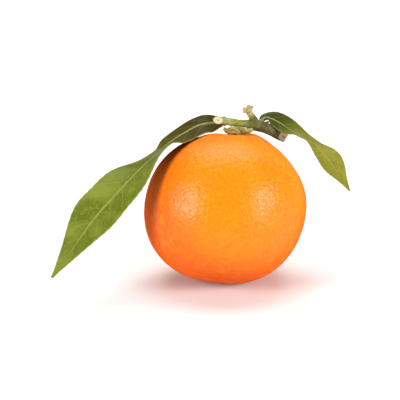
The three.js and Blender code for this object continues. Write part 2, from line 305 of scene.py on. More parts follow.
def weave(before, start, end, after, spacing, w):
    """One stretch of a smooth curve through four values, at a share w of the middle stretch."""
    a, b, c = spacing
    leave = (start - before) / a - (end - before) / (a + b) + (end - start) / b
    arrive = (end - start) / b - (after - start) / (b + c) + (after - end) / c
    return cubic(start, end, leave * b, arrive * b, w)


class Route:
    MARKS = 200  # to measure its length by
    NUDGE = 1e-4  # ahead and back, to see which way it runs

    def __init__(self, *places):
        self.places = [Vector(place) for place in places]
        marks = [self.at(i / self.MARKS) for i in range(self.MARKS + 1)]
        steps = [(b - a).length for a, b in zip(marks, marks[1:])]
        self.walked = np.concatenate([[0], np.cumsum(steps)]) / sum(steps)

    def at(self, time):
        places, last = self.places, len(self.places) - 2
        i = min(int(time * (last + 1)), last)
        start, end = places[i], places[i + 1]
        before = places[i - 1] if i > 0 else 2 * start - end
        after = places[i + 2] if i < last else 2 * end - start
        stretches = ((before, start), (start, end), (end, after))
        spacing = [math.sqrt((b - a).length) or 1 for a, b in stretches]
        return weave(before, start, end, after, spacing, time * (last + 1) - i)

    def time(self, share):
        return float(np.interp(share, self.walked, np.linspace(0, 1, self.MARKS + 1)))

    def point(self, share):
        return self.at(self.time(share))

    def along(self, share):
        time = self.time(share)
        ahead, behind = min(1, time + self.NUDGE), max(0, time - self.NUDGE)
        return (self.at(ahead) - self.at(behind)).normalized()


# %% The way across and the way up, along a route
def frames_along(route, hint_at):
    """For a share of a route: its place, the way across it, and the way up, near the hint."""

    def frame_at(share):
        along = route.along(share)
        across = hint_at(share).cross(along).normalized()
        return route.point(share), across, along.cross(across)

    return frame_at


def upwards(share):
    return Vector((0, 0, 1))


def backwards(share):
    return Vector((0, 1, 0))


# %% A shoot along a route
def make_shoot(name, frame_at, size_at, sides, steps):
    """A bent cylinder. size_at gives its half width, half height and offset upwards, in mm."""
    bpy.ops.mesh.primitive_cylinder_add(vertices=sides, radius=MM, depth=MM, end_fill_type="TRIFAN")
    shoot = named(name)
    bpy.ops.object.mode_set(mode="EDIT")
    bpy.ops.mesh.select_mode(type="EDGE")
    bpy.ops.mesh.select_all(action="DESELECT")
    bpy.ops.object.mode_set(mode="OBJECT")
    height = points_of(shoot)[:, 2]
    for edge in shoot.data.edges:
        a, b = edge.vertices
        edge.select = bool(abs(height[a] - height[b]) > 0.5)  # it runs along the cylinder
    bpy.ops.object.mode_set(mode="EDIT")
    bpy.ops.mesh.subdivide(number_cuts=steps - 1)
    bpy.ops.object.mode_set(mode="OBJECT")
    points = points_of(shoot)
    rings = {}
    for i, (x, y, z) in enumerate(points):
        share = min(max(round((z + 0.5) * steps) / steps, 0), 1)
        if share not in rings:
            rings[share] = (*frame_at(share), *size_at(share))
        centre, across, up, half_width, half_height, offset = rings[share]
        points[i] = centre + across * (x * half_width) + up * (y * half_height + offset)
    set_points(shoot, points)
    return shoot


def round_size(radius_at):
    """The size of a round shoot: as high as it is wide, and centred on its route."""
    return lambda share: (radius_at(share), radius_at(share), 0)


# %% [markdown]
# ### Grown together
#
# The parts of a calyx or a twig have no seams between them. A Boolean would leave sharp creases
# where they meet. A voxel remesh makes one skin of them, and some smoothing softens the
# angles. Noise along the normals then gives the dry, knobbly surface. How deep each point lies
# under a smoothed skin is measured too, and the finishes darken the hollows with painted shade.

# %% Join, remesh and roughen
GRAIN = 0.12  # of the remesh, in mm


def join(name, parts):
    """Several parts as one piece."""
    select_only(parts[0])
    for part in parts:
        part.select_set(True)
    bpy.ops.object.join()
    return named(name)


def grow_together(piece):
    """Turns overlapping parts into one skin, and softens the angles between them."""
    finish_with(piece, "REMESH", mode="VOXEL", voxel_size=GRAIN * MM, use_smooth_shade=True)
    finish_with(piece, "SMOOTH", factor=0.5, iterations=3)


def roughen(piece, size, depth, seed):
    """Moves the points in and out along their normals by noise of that size and depth, in mm."""
    points = points_of(piece)
    drift = Vector((seed, 2.3 * seed, 0))
    heave = np.array([noise.fractal(Vector(p) / size + drift, 0.8, 2.2, 3) for p in points])
    set_points(piece, points + rows_of(piece, "normal") * (depth * heave)[:, None])


def hollows(piece, rounds=14, depth=0.14):
    """For each point, 0 on ridges and open faces, and up to 1 in hollows of that depth in mm."""
    ends = np.zeros(2 * len(piece.data.edges), np.int32)
    piece.data.edges.foreach_get("vertices", ends)
    a, b = ends.reshape(-1, 2).T
    points = points_of(piece)
    count = np.bincount(a, minlength=len(points)) + np.bincount(b, minlength=len(points))
    soft = points.copy()
    for _ in range(rounds):
        total = np.zeros_like(soft)
        np.add.at(total, a, soft[b])
        np.add.at(total, b, soft[a])
        soft = total / count[:, None]
    return np.clip(((soft - points) * rows_of(piece, "normal")).sum(1) / depth, 0, 1)


def from_line(offsets, way):
    """How far each offset lies from a line through zero that runs that way."""
    return np.sqrt(np.maximum((offsets**2).sum(1) - (offsets @ np.array(way)) ** 2, 0))


# %% [markdown]
# ## The calyx
#
# Five sepals stay on the fruit as a small hard star, fleshy at its middle, with tips that curl up
# off the skin. Each sepal is a flat shoot that widens and then tapers. A low cushion fills the
# middle, and the six parts are then grown together.

# %% Sepals
SEPAL_COUNT = 5
SEPAL_REACHES = [5.0, 5.4, 6.2, 5.2, 4.8]
SEPAL_TIP_LIFTS = [1.2, 2.0, 1.3, 0.5, 0.8]
SEPAL_HALF_WIDTH = 2.2
SEPAL_HALF_HEIGHT = 1.35


def make_sepal(index):
    turn = math.pi + 2 * math.pi * index / SEPAL_COUNT + 0.12 * math.sin(3 * index + 1)
    reach = SEPAL_REACHES[index]
    lift = SEPAL_TIP_LIFTS[index]

    def away(distance, rise):
        seat = float(skin_radius(distance / (FRUIT_HEIGHT / 2), turn))
        height = seat - 0.02 * distance**2 + rise  # the skin falls away from the stem
        return from_axis([(distance * math.cos(turn), distance * math.sin(turn), height)])[0]

    def size_at(share):
        width = SEPAL_HALF_WIDTH * (0.66 + 0.9 * share - 1.1 * share**3)
        return width, SEPAL_HALF_HEIGHT * (1 - 0.6 * share**2), 0

    spine = Route(away(0.6, 1.1), away(0.55 * reach, 1.0), away(reach, 0.8 + lift))
    frame_at = frames_along(spine, lambda share: AXIS)
    return make_shoot(f"sepal_{index}", frame_at, size_at, sides=20, steps=16)


# %% Cushion, and the whole star
CUSHION_RADIUS = 3.2
CUSHION_RISE = 2.6
STAR_REACH = 5.8


def make_cushion():
    """A low round pad: a cylinder with its edges rounded."""
    bpy.ops.mesh.primitive_cylinder_add(
        vertices=32, radius=CUSHION_RADIUS * MM, depth=CUSHION_RISE * MM, end_fill_type="NGON"
    )
    cushion = named("cushion")
    points = points_of(cushion)
    points[:, 2] += STEM_SEAT + CUSHION_RISE / 2
    set_points(cushion, from_axis(points))
    finish_with(cushion, "BEVEL", width=0.9 * MM, segments=4, limit_method="ANGLE")
    return cushion


calyx = join("calyx_star", [make_cushion()] + [make_sepal(i) for i in range(SEPAL_COUNT)])
grow_together(calyx)
roughen(calyx, size=1.4, depth=0.34, seed=1)
roughen(calyx, size=0.5, depth=0.08, seed=5)
# how deep each point lies in a hollow, for the painted shade of the calyx finish
paint(calyx, "hollow_shade", hollows(calyx))
spread = points_of(calyx) - np.array(MIDDLE)
paint(calyx, "tip", np.clip(from_line(spread, AXIS) / STAR_REACH, 0, 1))
print("calyx:", triangles(calyx), "triangles")

# %% [markdown]
# ## The twig
#
# The branch was cut on both sides of the fruit. It carries the fruit on a short pedicel, and a
# side shoot leans up from it to the dry remains of a flower: a little cup with blunt teeth. At
# each leaf the branch swells and holds a bud. All of these are shoots, grown together as the
# sepals were.

# %% Where the parts of the twig run
def place(x, y, z):
    """A place given from the middle of the fruit."""
    return Vector((x, y, z)) + MIDDLE


branch_route = Route(
    place(-5.6, 5.0, 33.0),
    place(0.4, 7.4, 31.5),
    place(5.2, 9.2, 30.3),
    place(10.4, 11.0, 29.2),
    place(16.4, 12.8, 26.8),
    place(23.0, 14.8, 22.4),
)
side_shoot_route = Route(
    place(12.6, 11.6, 28.2),
    place(10.9, 10.9, 30.8),
    place(9.3, 10.2, 33.4),
    place(8.4, 9.6, 35.4),
)
pedicel_foot = MIDDLE + AXIS * (STEM_SEAT + 1.2)  # inside the cushion
pedicel_route = Route(pedicel_foot, pedicel_foot + AXIS * 3.7)

# The share of the branch at each cut end, where the cut is, the way it faces, and its radius
CUTS = [
    (0, place(-2.7, 6.15, 32.25), Vector((-0.35, -0.9, 0.25)).normalized(), 1.4),
    (1, place(22.0, 14.5, 23.2), Vector((0.6, -0.78, -0.15)).normalized(), 1.65),
]
print("between its cuts the branch is", round((CUTS[1][1] - CUTS[0][1]).length, 1), "mm long")

# %% Branch, buds and dry cup
YOUNG_RADIUS = 1.25
OLD_RADIUS = 2.0
TEETH = 5


def soft_ramp(value, low, high):
    """Rises smoothly from 0 at the low value to 1 at the high one."""
    t = min(max((value - low) / (high - low), 0), 1)
    return t * t * (3 - 2 * t)


def branch_radius(share):
    """Young and thin on the left, older past the side shoot, and swollen at each leaf."""
    knots = 0.14 * hill(share, 0.26, 0.06) + 0.12 * hill(share, 0.55, 0.07)
    ends = 0.2 * hill(share, 0.05, 0.08) - 0.2 * soft_ramp(share, 0.85, 1)
    age = soft_ramp(share, 0.36, 0.62)
    return (YOUNG_RADIUS + (OLD_RADIUS - YOUNG_RADIUS) * age) * (1 + knots + ends)


def cut_off(piece, spot, facing):
    """Cuts a piece flat, and closes the cut."""
    select_only(piece)
    bpy.ops.object.mode_set(mode="EDIT")
    bpy.ops.mesh.select_all(action="SELECT")
    bpy.ops.mesh.bisect(plane_co=spot * MM, plane_no=facing, use_fill=True, clear_outer=True)
    bpy.ops.object.mode_set(mode="OBJECT")


def make_bud(name, base, way):
    line = Route(base, base + Vector(way))
    size_at = round_size(lambda share: 0.95 * math.sqrt(1 - 0.93 * share * share))
    return make_shoot(name, frames_along(line, backwards), size_at, sides=14, steps=10)


def make_tooth(index):
    """One blunt tooth of the dry cup on the side shoot."""
    top, way = side_shoot_route.point(1), side_shoot_route.along(1)
    turn = Matrix.Rotation(2 * math.pi * index / TEETH + 0.5, 3, way)
    out = turn @ way.orthogonal().normalized()
    bend = ((-0.6, 0.4), (0.1, 1.35), (0.7, 1.95))  # up the shoot and out from it, in mm
    line = Route(*[top + way * up + out * away for up, away in bend])
    frame_at = frames_along(line, lambda share: way)

    def size_at(share):
        return 0.95 - 0.35 * share * share, 0.62, 0

    return make_shoot(f"tooth_{index}", frame_at, size_at, sides=12, steps=8)


# %% Make the twig
branch_frames = frames_along(branch_route, upwards)
branch = make_shoot("branch", branch_frames, round_size(branch_radius), sides=32, steps=80)
for _, spot, facing, _ in CUTS:
    cut_off(branch, spot, facing)

pedicel_frames = frames_along(pedicel_route, backwards)
pedicel_size = round_size(lambda share: 1.5 - 0.5 * share)
side_shoot_frames = frames_along(side_shoot_route, backwards)
side_shoot_size = round_size(lambda share: 1.35 * (1.1 - 0.25 * share))
twig_parts = [
    branch,
    make_shoot("pedicel", pedicel_frames, pedicel_size, sides=20, steps=12),
    make_shoot("side_shoot", side_shoot_frames, side_shoot_size, sides=20, steps=20),
    make_bud("bud_left", place(0.6, 7.7, 31.6), (-1.6, -0.3, 1.7)),
    make_bud("bud_right", place(14.4, 11.6, 28.6), (1.6, -1.2, 1.9)),
]
twig = join("twig_bark", twig_parts + [make_tooth(i) for i in range(TEETH)])
grow_together(twig)
print("twig:", triangles(twig), "triangles")

# %% [markdown]
# ### Bark and cut ends
#
# Young citrus bark is finely ridged along the branch. Where it was cut, the pale wood shows, with
# a softer pith at its centre. The faces of each cut end get a material of their own, and their
# distance from the centre is painted on for it.

# %% Ridges, and dished cut ends
NEAR_CUT = 0.4  # how near the plane of a cut its points and faces lie, in mm
POINTS_WITHIN, FACES_WITHIN = 3, 2.8  # of the middle of the cut
DISH_DEPTH = 0.18
DISH_SHARE = 0.9  # of the radius of a cut
DRY_REACH = 2.4

roughen(twig, size=0.9, depth=0.1, seed=2)
# how deep each point lies in a hollow, for the painted shade of the bark finish
paint(twig, "hollow_shade", hollows(twig))
points = points_of(twig)
ring = np.ones(len(points))  # 0 at the pith of a cut, and 1 at its bark and everywhere else
for end, spot, facing, radius in CUTS:
    offset = points - np.array(spot)
    beyond = np.abs(offset @ np.array(facing))
    on_cut = (beyond < NEAR_CUT) & ((offset**2).sum(1) < POINTS_WITHIN**2)
    ring[on_cut] = from_line(offset, branch_route.along(end))[on_cut] / radius
    dish = on_cut & (ring < DISH_SHARE)
    depth = DISH_DEPTH * (1 - (ring[dish] / DISH_SHARE) ** 2)
    points[dish] -= np.array(facing) * depth[:, None]
set_points(twig, points)
paint(twig, "ring", ring)
from_dry_top = np.linalg.norm(points - np.array(side_shoot_route.point(1)), axis=1)
paint(twig, "dry", np.clip(1.6 - from_dry_top / DRY_REACH, 0, 1))  # green again further down
print("points on the cut ends:", int((ring < 1).sum()))

# %% Tell the cut faces apart
def two_materials(piece):
    """Makes room for two materials, which come with the finishes."""
    piece.data.materials.append(None)
    piece.data.materials.append(None)


two_materials(twig)
cut_faces = 0
for face in twig.data.polygons:
    for _, spot, facing, _ in CUTS:
        offset = face.center / MM - spot
        on_cut = abs(offset.dot(facing)) < NEAR_CUT and offset.length < FACES_WITHIN
        if on_cut and face.normal.dot(facing) > 0.7:
            face.material_index = 1
            cut_faces += 1
print("cut faces:", cut_faces)

# %% [markdown]
# ## The leaves
#
# A leaf is a thin blade on a petiole, folded a little along its midrib, waved at its margins and
# puffed up between its side veins. An outline could be cut out and bent, but a flat grid is better
# to shape: its rows stay across the midrib wherever it droops and twists. A few stations along the
# midrib guide them, the same as in the CAD solid. Solidify then gives the blade its
# thickness, and its underside a material of its own.

# %% Stations along the midribs
# The half width of a blade at even steps from its base to its tip, as shares of the widest
BLADE_OUTLINE = [0.2, 0.64, 0.79, 0.87, 0.93, 0.98, 1, 0.92, 0.67, 0.32, 0.05]

# A place from the middle of the fruit, the way the upper side looks there, and how far the two
# halves fold up, in degrees
LEFT_STATIONS = [
    ((2.2, 8.4, 31.0), (0, -0.3, 1), 0),
    ((-3.2, 10.2, 30.1), (-0.2, -0.7, 0.72), 1),
    ((-9.4, 8.2, 29.8), (-0.36, -0.32, 0.86), -2),
    ((-16.0, 5.2, 27.1), (-0.4, -0.21, 0.9), -3),
    ((-19.6, 2.8, 25.4), (-0.46, -0.06, 0.89), -2),
    ((-22.9, 0.2, 23.5), (-0.64, 0.14, 0.75), 1),
    ((-32.4, -7.6, 16.4), (-0.46, -0.25, 0.85), 6),
    ((-40.2, -13.9, 9.6), (-0.28, -0.53, 0.8), 10),
    ((-48.1, -19.7, 2.0), (-0.28, -0.66, 0.69), 12),
    ((-55.4, -24.5, -7.2), (-0.33, -0.7, 0.64), 12),
    ((-62.9, -29.2, -16.7), (-0.36, -0.69, 0.63), 10),
]
RIGHT_STATIONS = [
    ((12.4, 12.4, 28.9), (0.1, -0.2, 1), 0),
    ((15.0, 15.4, 30.6), (0, -0.22, 0.97), 8),
    ((19.0, 15.5, 29.3), (0.3, -0.45, 0.83), 10),
    ((25.0, 13.2, 26.0), (0.4, -0.33, 0.85), 8),
    ((31.8, 8.4, 23.4), (0.55, 0.1, 0.83), 5),
    ((36.4, 4.4, 19.8), (0.5, -0.45, 0.72), 8),
    ((41.0, 0.8, 14.4), (0.42, -0.7, 0.57), 9),
    ((45.8, -2.6, 7.8), (0.42, -0.74, 0.52), 8),
]
LEAVES = {
    "leaf_left": {
        "half_width": 9.6,
        "petiole_share": 0.035,
        "petiole_radius": 0.95,
        "wave": 0.55,
        "waves": 4.5,
        "vein_pairs": 13,
        "stations": LEFT_STATIONS,
    },
    "leaf_right": {
        "half_width": 6.0,
        "petiole_share": 0.05,
        "petiole_radius": 0.8,
        "wave": 0.4,
        "waves": 3.5,
        "vein_pairs": 10,
        "stations": RIGHT_STATIONS,
    },
}
print("stations:", {name: len(leaf["stations"]) for name, leaf in LEAVES.items()})


# %% Between the stations
def between(values, time):
    """A smooth curve through evenly spaced numbers."""
    last = len(values) - 1
    i = min(int(time * last), last - 1)
    before, after = values[max(i - 1, 0)], values[min(i + 2, last)]
    start, end = values[i], values[i + 1]
    return cubic(start, end, (end - before) / 2, (after - start) / 2, time * last - i)


def lay_out(leaf):
    """The frames of a leaf along its midrib, and its fold in radians, for a share of its length."""
    spine = Route(*[place(*station[0]) for station in leaf["stations"]])
    looks = Route(*[station[1] for station in leaf["stations"]])
    folds = [station[2] for station in leaf["stations"]]
    frame_at = frames_along(spine, lambda share: looks.at(spine.time(share)))
    return frame_at, lambda share: math.radians(between(folds, spine.time(share)))


# %% The relief of a blade
NOTCHES = 31  # along each margin
NOTCH_DEPTH = 0.09
NOTCHED_SHARE = 0.2  # of the half width, next to the margin
VEIN_SLANT, VEIN_CURVE = 0.1, 1.2  # the side veins lean towards the tip
PUFF_HEIGHT = 0.13
FLAT_BY_RIB = 1.2  # how far from the midrib the puffs start, in mm
GROOVE_DEPTH, GROOVE_WIDTH = 0.16, 0.4


def blade_offset(leaf, t, v, half, fold):
    """How far a place on a blade lies beside the midrib and above it, in mm.

    t goes from 0 at the base to 1 at the tip, and v from -1 at one margin to 1 at the other.
    """
    size, far_half = abs(v), v > 0
    fade = math.sin(math.pi * t)  # 0 at both ends of the blade
    notch = NOTCH_DEPTH * max(0, size - (1 - NOTCHED_SHARE)) / NOTCHED_SHARE
    notch *= math.sin(2 * math.pi * t * NOTCHES + (2 if far_half else 0))
    out = size * half + notch * fade
    ripple = leaf["wave"] * v * v * fade
    ripple *= math.sin(2 * math.pi * leaf["waves"] * t + (3.4 if far_half else 0))
    phase = leaf["vein_pairs"] * (t - VEIN_SLANT * size**VEIN_CURVE) + (0.5 if far_half else 0)
    puff = PUFF_HEIGHT * (1 - size**2) * (1 - hill(size * half, 0, FLAT_BY_RIB))
    puff *= (0.5 - 0.5 * math.cos(2 * math.pi * phase)) * fade  # 0 on each side vein
    groove = GROOVE_DEPTH * hill(size * half, 0, GROOVE_WIDTH)
    lift = size * half * math.sin(fold) * (1.1 - 0.1 * size) + ripple + puff - groove
    return math.copysign(out, v) * math.cos(fold), lift


# %% A blade from a grid
ROWS, COLUMNS = 170, 44
CROWDING = 1.2  # more than 1 crowds the columns towards the midrib
THICKNESS = 0.36


def make_blade(name, leaf):
    frame_at, fold_at = lay_out(leaf)
    bpy.ops.mesh.primitive_grid_add(x_subdivisions=COLUMNS, y_subdivisions=ROWS, size=MM)
    blade = named(name + "_blade")
    points = points_of(blade)
    marks = np.zeros((len(points), 2))
    rows = {}
    for i, (x, y, _) in enumerate(points):
        t = round((y + 0.5) * ROWS) / ROWS
        v = -math.copysign(abs(2 * x) ** CROWDING, x)
        if t not in rows:
            share = leaf["petiole_share"] + (1 - leaf["petiole_share"]) * t
            half = leaf["half_width"] * between(BLADE_OUTLINE, t)
            rows[t] = (*frame_at(share), fold_at(share), half)
        centre, across, up, fold, half = rows[t]
        sideways, lift = blade_offset(leaf, t, v, half, fold)
        points[i] = centre + across * sideways + up * lift
        marks[i] = 0.5 + 0.5 * v, t
    set_points(blade, points)
    blade_map = blade.data.uv_layers[0]
    blade_map.name = "blade_map"
    for loop in blade.data.loops:
        blade_map.data[loop.index].uv = marks[loop.vertex_index]
    two_materials(blade)
    # The underside gets the second material
    finish_with(blade, "SOLIDIFY", thickness=THICKNESS * MM, offset=0, material_offset=1)
    select_only(blade)
    bpy.ops.object.shade_smooth_by_angle(angle=math.radians(50))
    return blade


# %% A rib under each blade
def make_rib(name, leaf):
    """The petiole, and the rib that it becomes under the blade."""
    frame_at, _ = lay_out(leaf)
    joint = leaf["petiole_share"]

    def size_at(share):
        radius = leaf["petiole_radius"] * (1 - 0.72 * math.sqrt(share))
        radius *= 1 + 0.3 * hill(share, 0.025, 0.02) + 0.22 * hill(share, joint, 0.01)
        return radius, radius, -0.3 * soft_ramp(share, 0, 1.6 * joint)

    def short_of_tip(share):
        return frame_at(0.97 * share)

    rib = make_shoot(name + "_rib", short_of_tip, size_at, sides=16, steps=120)
    select_only(rib)
    bpy.ops.object.shade_smooth_by_angle(angle=math.radians(60))
    return rib


leaf_pieces = {}
for name, leaf in LEAVES.items():
    leaf_pieces[name] = (make_blade(name, leaf), make_rib(name, leaf))
    print(name, [triangles(piece) for piece in leaf_pieces[name]], "triangles")

# %% [markdown]
# ## Finishes
#
# A material is a small web of nodes. The first helper below adds a node and fills its inputs in
# one line: an input that is given another node's output is linked to it, and anything else is set
# as a value. The others are the steps that the finishes share.

# %% Node helpers
def put(tree, kind, values=None, **settings):
    node = tree.nodes.new("ShaderNode" + kind)
    for name, value in settings.items():
        setattr(node, name, value)
    for name, value in (values or {}).items():
        if isinstance(value, bpy.types.NodeSocket):
            tree.links.new(value, node.inputs[name])
        else:
            node.inputs[name].default_value = value
    return node


def math_node(tree, operation, a, b=0.0):
    return put(tree, "Math", {0: a, 1: b}, operation=operation).outputs[0]


def times(tree, a, b):
    return math_node(tree, "MULTIPLY", a, b)


def soft_step(tree, value, low, high, to_low=0.0, to_high=1.0):
    values = {"Value": value, "From Min": low, "From Max": high}
    values.update({"To Min": to_low, "To Max": to_high})
    return put(tree, "MapRange", values, interpolation_type="SMOOTHSTEP").outputs[0]


def painted(tree, name):
    return put(tree, "Attribute", attribute_name=name).outputs["Fac"]


def object_place(tree):
    return put(tree, "TexCoord").outputs["Object"]


# %% Colours and shaders
def rgb(red, green, blue):
    return (red, green, blue, 1.0)


def colour_mix(tree, mask, colour_a, colour_b):
    """colour_a where the mask is 0, and colour_b where it is 1."""
    return put(tree, "Mix", {0: mask, 6: colour_a, 7: colour_b}, data_type="RGBA").outputs[2]


def tint(tree, colour, mask, other, strength=1.0):
    """The colour, with the other colour over it where the mask is, up to the strength."""
    mask = mask if strength == 1 else times(tree, mask, strength)
    return colour_mix(tree, mask, colour, other)


def new_finish(name):
    """A material with its tree and its shader."""
    finish = bpy.data.materials.new(name)
    finish.use_nodes = True
    return finish, finish.node_tree, finish.node_tree.nodes["Principled BSDF"]


def set_plain(shader, **values):
    """Sets what is the same all over the surface. An underscore stands for a space."""
    for name, value in values.items():
        shader.inputs[name.replace("_", " ")].default_value = value


def set_relief(tree, shader, height, strength, depth):
    """Lets a height catch the light as relief of that depth, in mm."""
    bump = put(tree, "Bump", {"Height": height, "Strength": strength, "Distance": depth * MM})
    tree.links.new(bump.outputs[0], shader.inputs["Normal"])


# %% [markdown]
# ### Two effects that several finishes share
#
# **Mottle** is soft, cloudy variation of a chosen size, and every surface here needs it.
# **Leaf veins** draws the midrib, the side veins and the margin from the blade's own map, once for
# the upper side and once for the underside. Each is a node group, so that it is built once and
# used with different numbers.

# %% Start and end a group
NUMBER = "NodeSocketFloat"


def new_group(name, inputs, outputs):
    """A node group with its sockets. The inputs are given with the values they start with."""
    group = bpy.data.node_groups.new(name, "ShaderNodeTree")
    for label, value in inputs.items():
        socket = group.interface.new_socket(label, in_out="INPUT", socket_type=NUMBER)
        socket.default_value = value
    for label in outputs:
        group.interface.new_socket(label, in_out="OUTPUT", socket_type=NUMBER)
    return group, group.nodes.new("NodeGroupInput").outputs


def give_out(group, values):
    result = group.nodes.new("NodeGroupOutput")
    for name, value in values.items():
        group.links.new(value, result.inputs[name])


# %% The mottle group
MOTTLE = {"Size in mm": 5.0, "Detail": 3.0, "Low": 0.35, "High": 0.65}
mottle, given = new_group("mottle", MOTTLE, ["Mask"])
scale = math_node(mottle, "DIVIDE", 1000.0, given["Size in mm"])
noise_inputs = {"Vector": object_place(mottle), "Scale": scale, "Detail": given["Detail"]}
clouds = put(mottle, "TexNoise", noise_inputs).outputs["Fac"]
give_out(mottle, {"Mask": soft_step(mottle, clouds, given["Low"], given["High"])})


def mottled(tree, size, detail=3.0, low=0.35, high=0.65, strength=1.0):
    """A mottle mask of that size in a finish, which goes from 0 up to the strength."""
    group = put(tree, "Group", node_tree=mottle)
    for name, value in zip(MOTTLE, (size, detail, low, high)):
        group.inputs[name].default_value = value
    mask = group.outputs["Mask"]
    return mask if strength == 1 else times(tree, mask, strength)


# %% The leaf veins group
def along_blade(tree):
    """The blade's own map: across it, with the midrib at a half, and along it from base to tip."""
    blade_map = put(tree, "UVMap", uv_map="blade_map").outputs[0]
    return put(tree, "SeparateXYZ", {0: blade_map}).outputs


VEINS = ["Side veins", "Midrib", "Margin"]
veins, given = new_group("leaf_veins", {"Pairs": 13.0, "Width": 0.07}, VEINS)
across, along = along_blade(veins)[:2]
from_rib = put(veins, "Math", {0: across, 1: 2.0, 2: -1.0}, operation="MULTIPLY_ADD").outputs[0]
from_rib = math_node(veins, "ABSOLUTE", from_rib)  # 0 on the midrib and 1 on the margin
slant = times(veins, math_node(veins, "POWER", from_rib, VEIN_CURVE), VEIN_SLANT)
phase = times(veins, math_node(veins, "SUBTRACT", along, slant), given["Pairs"])
far_half = times(veins, math_node(veins, "LESS_THAN", across, 0.5), 0.5)
phase = math_node(veins, "ADD", phase, math_node(veins, "ADD", far_half, 0.5))
phase = math_node(veins, "SUBTRACT", math_node(veins, "FRACT", phase), 0.5)
side_veins = soft_step(veins, math_node(veins, "ABSOLUTE", phase), given["Width"], 0.0)
side_veins = times(veins, side_veins, soft_step(veins, from_rib, 1.0, 0.55))
midrib = soft_step(veins, from_rib, 0.075, 0.03)
margin = soft_step(veins, from_rib, 0.955, 0.99)
give_out(veins, dict(zip(VEINS, (side_veins, midrib, margin))))
print("node groups:", [group.name for group in bpy.data.node_groups])

# %% [markdown]
# ### Peel
#
# Ripe skin is a strong orange, yellower on the side that faces forwards and up towards the
# lamps, and darker and redder low down and round the sides: partly the fruit's own blush and
# partly painted shade. The pits are a little deeper in colour, the stem end is paler, and a small
# brown scar marks where the flower's style was. The skin is waxy: it shines where it is seen
# straight on, and light also goes a little way into it. Where it is seen along, the rims of the
# pits hide the shiny floor between them, so it is made dull there.

# %% Peel finish
peel_finish, tree, shader = new_finish("citrus_peel")
large_clouds = mottled(tree, 14, strength=0.25)
small_clouds = mottled(tree, 3.2, detail=2.0, low=0.45, high=0.75, strength=0.35)
# the blush mask is partly the fruit's own redder tone and partly painted shade low down and round
# the sides
blush_and_shade = soft_step(tree, painted(tree, "blush_and_shade"), 0, 1)
colour = colour_mix(tree, blush_and_shade, rgb(0.75, 0.245, 0.005), rgb(0.74, 0.078, 0.001))
colour = tint(tree, colour, large_clouds, rgb(0.77, 0.16, 0.002))
colour = tint(tree, colour, small_clouds, rgb(0.80, 0.262, 0.008))
colour = tint(tree, colour, painted(tree, "pit"), rgb(0.69, 0.135, 0.002), 0.5)
colour = tint(tree, colour, painted(tree, "stem_end"), rgb(0.79, 0.27, 0.02), 0.5)
colour = tint(tree, colour, painted(tree, "blossom_scar"), rgb(0.28, 0.14, 0.04))
tree.links.new(colour, shader.inputs["Base Color"])

# %% Peel gloss and grain
seen_along = put(tree, "LayerWeight", {"Blend": 0.5}).outputs["Facing"]
dullness = soft_step(tree, seen_along, 0.3, 0.75, to_low=0.22, to_high=1.0)
patches = mottled(tree, 1.4, detail=2.0, low=0.2, high=0.8, strength=0.08)
tree.links.new(math_node(tree, "ADD", dullness, patches), shader.inputs["Roughness"])
where = object_place(tree)
cells = put(tree, "TexVoronoi", {"Vector": where, "Scale": 1050.0}).outputs["Distance"]
grain = put(tree, "TexNoise", {"Vector": where, "Scale": 2600.0, "Detail": 2.0}).outputs["Fac"]
height = math_node(tree, "ADD", soft_step(tree, cells, 0.0, 0.5), times(tree, grain, 0.35))
set_relief(tree, shader, height, strength=0.7, depth=0.1)
set_plain(shader, Specular_IOR_Level=0.2, Subsurface_Weight=0.3)
set_plain(shader, Subsurface_Radius=(1.0, 0.35, 0.08), Subsurface_Scale=3 * MM)
peel.data.materials.append(peel_finish)
print("peel finish:", len(tree.nodes), "nodes")

# %% [markdown]
# ### Calyx, bark and cut wood
#
# The sepals are pale green at the middle of the star and dry to straw brown at their tips. The
# bark is yellow-green on the young end and turns grey-green towards the older one, with fine pale
# specks. The cut wood is cream, with a brown pith and a greener ring under the bark.

# %% Calyx finish
calyx_finish, tree, shader = new_finish("calyx_green")
spots = mottled(tree, 0.8, low=0.58, high=0.72, strength=0.75)
dryness = soft_step(tree, painted(tree, "tip"), 0.35, 1.0)
colour = colour_mix(tree, mottled(tree, 1.6), rgb(0.20, 0.195, 0.035), rgb(0.36, 0.335, 0.10))
colour = tint(tree, colour, dryness, rgb(0.41, 0.35, 0.12), 0.7)
colour = tint(tree, colour, spots, rgb(0.13, 0.095, 0.025))
# painted shade: nearly black in the hollows between the sepals
colour = tint(tree, colour, painted(tree, "hollow_shade"), rgb(0.045, 0.032, 0.008), 0.95)
tree.links.new(colour, shader.inputs["Base Color"])
set_plain(shader, Roughness=0.62, Specular_IOR_Level=0.2)
set_relief(tree, shader, mottled(tree, 0.45), strength=0.5, depth=0.12)
calyx.data.materials.append(calyx_finish)
print("calyx finish:", len(tree.nodes), "nodes")

# %% Bark finish
bark_finish, tree, shader = new_finish("green_bark")
where = object_place(tree)
along_x = put(tree, "SeparateXYZ", {0: where}).outputs[0]
at_young_end = soft_step(tree, along_x, 3 * MM, -1 * MM, to_high=0.6)
age = soft_step(tree, along_x, 4 * MM, 12 * MM)
stretch = {"Vector": where, "Rotation": (0, 0.35, 0.25), "Scale": (0.22, 1.0, 1.0)}
stretched = put(tree, "Mapping", stretch).outputs[0]
streak_inputs = {"Vector": stretched, "Scale": 1900.0, "Detail": 3.0}
streaks = put(tree, "TexNoise", streak_inputs).outputs["Fac"]
dark_streaks = soft_step(tree, streaks, 0.5, 0.7, to_high=0.6)
cells = put(tree, "TexVoronoi", {"Vector": where, "Scale": 900.0}).outputs["Distance"]
specks = soft_step(tree, cells, 0.2, 0.1, to_high=0.6)
young = colour_mix(tree, mottled(tree, 2.2), rgb(0.22, 0.225, 0.03), rgb(0.33, 0.32, 0.065))
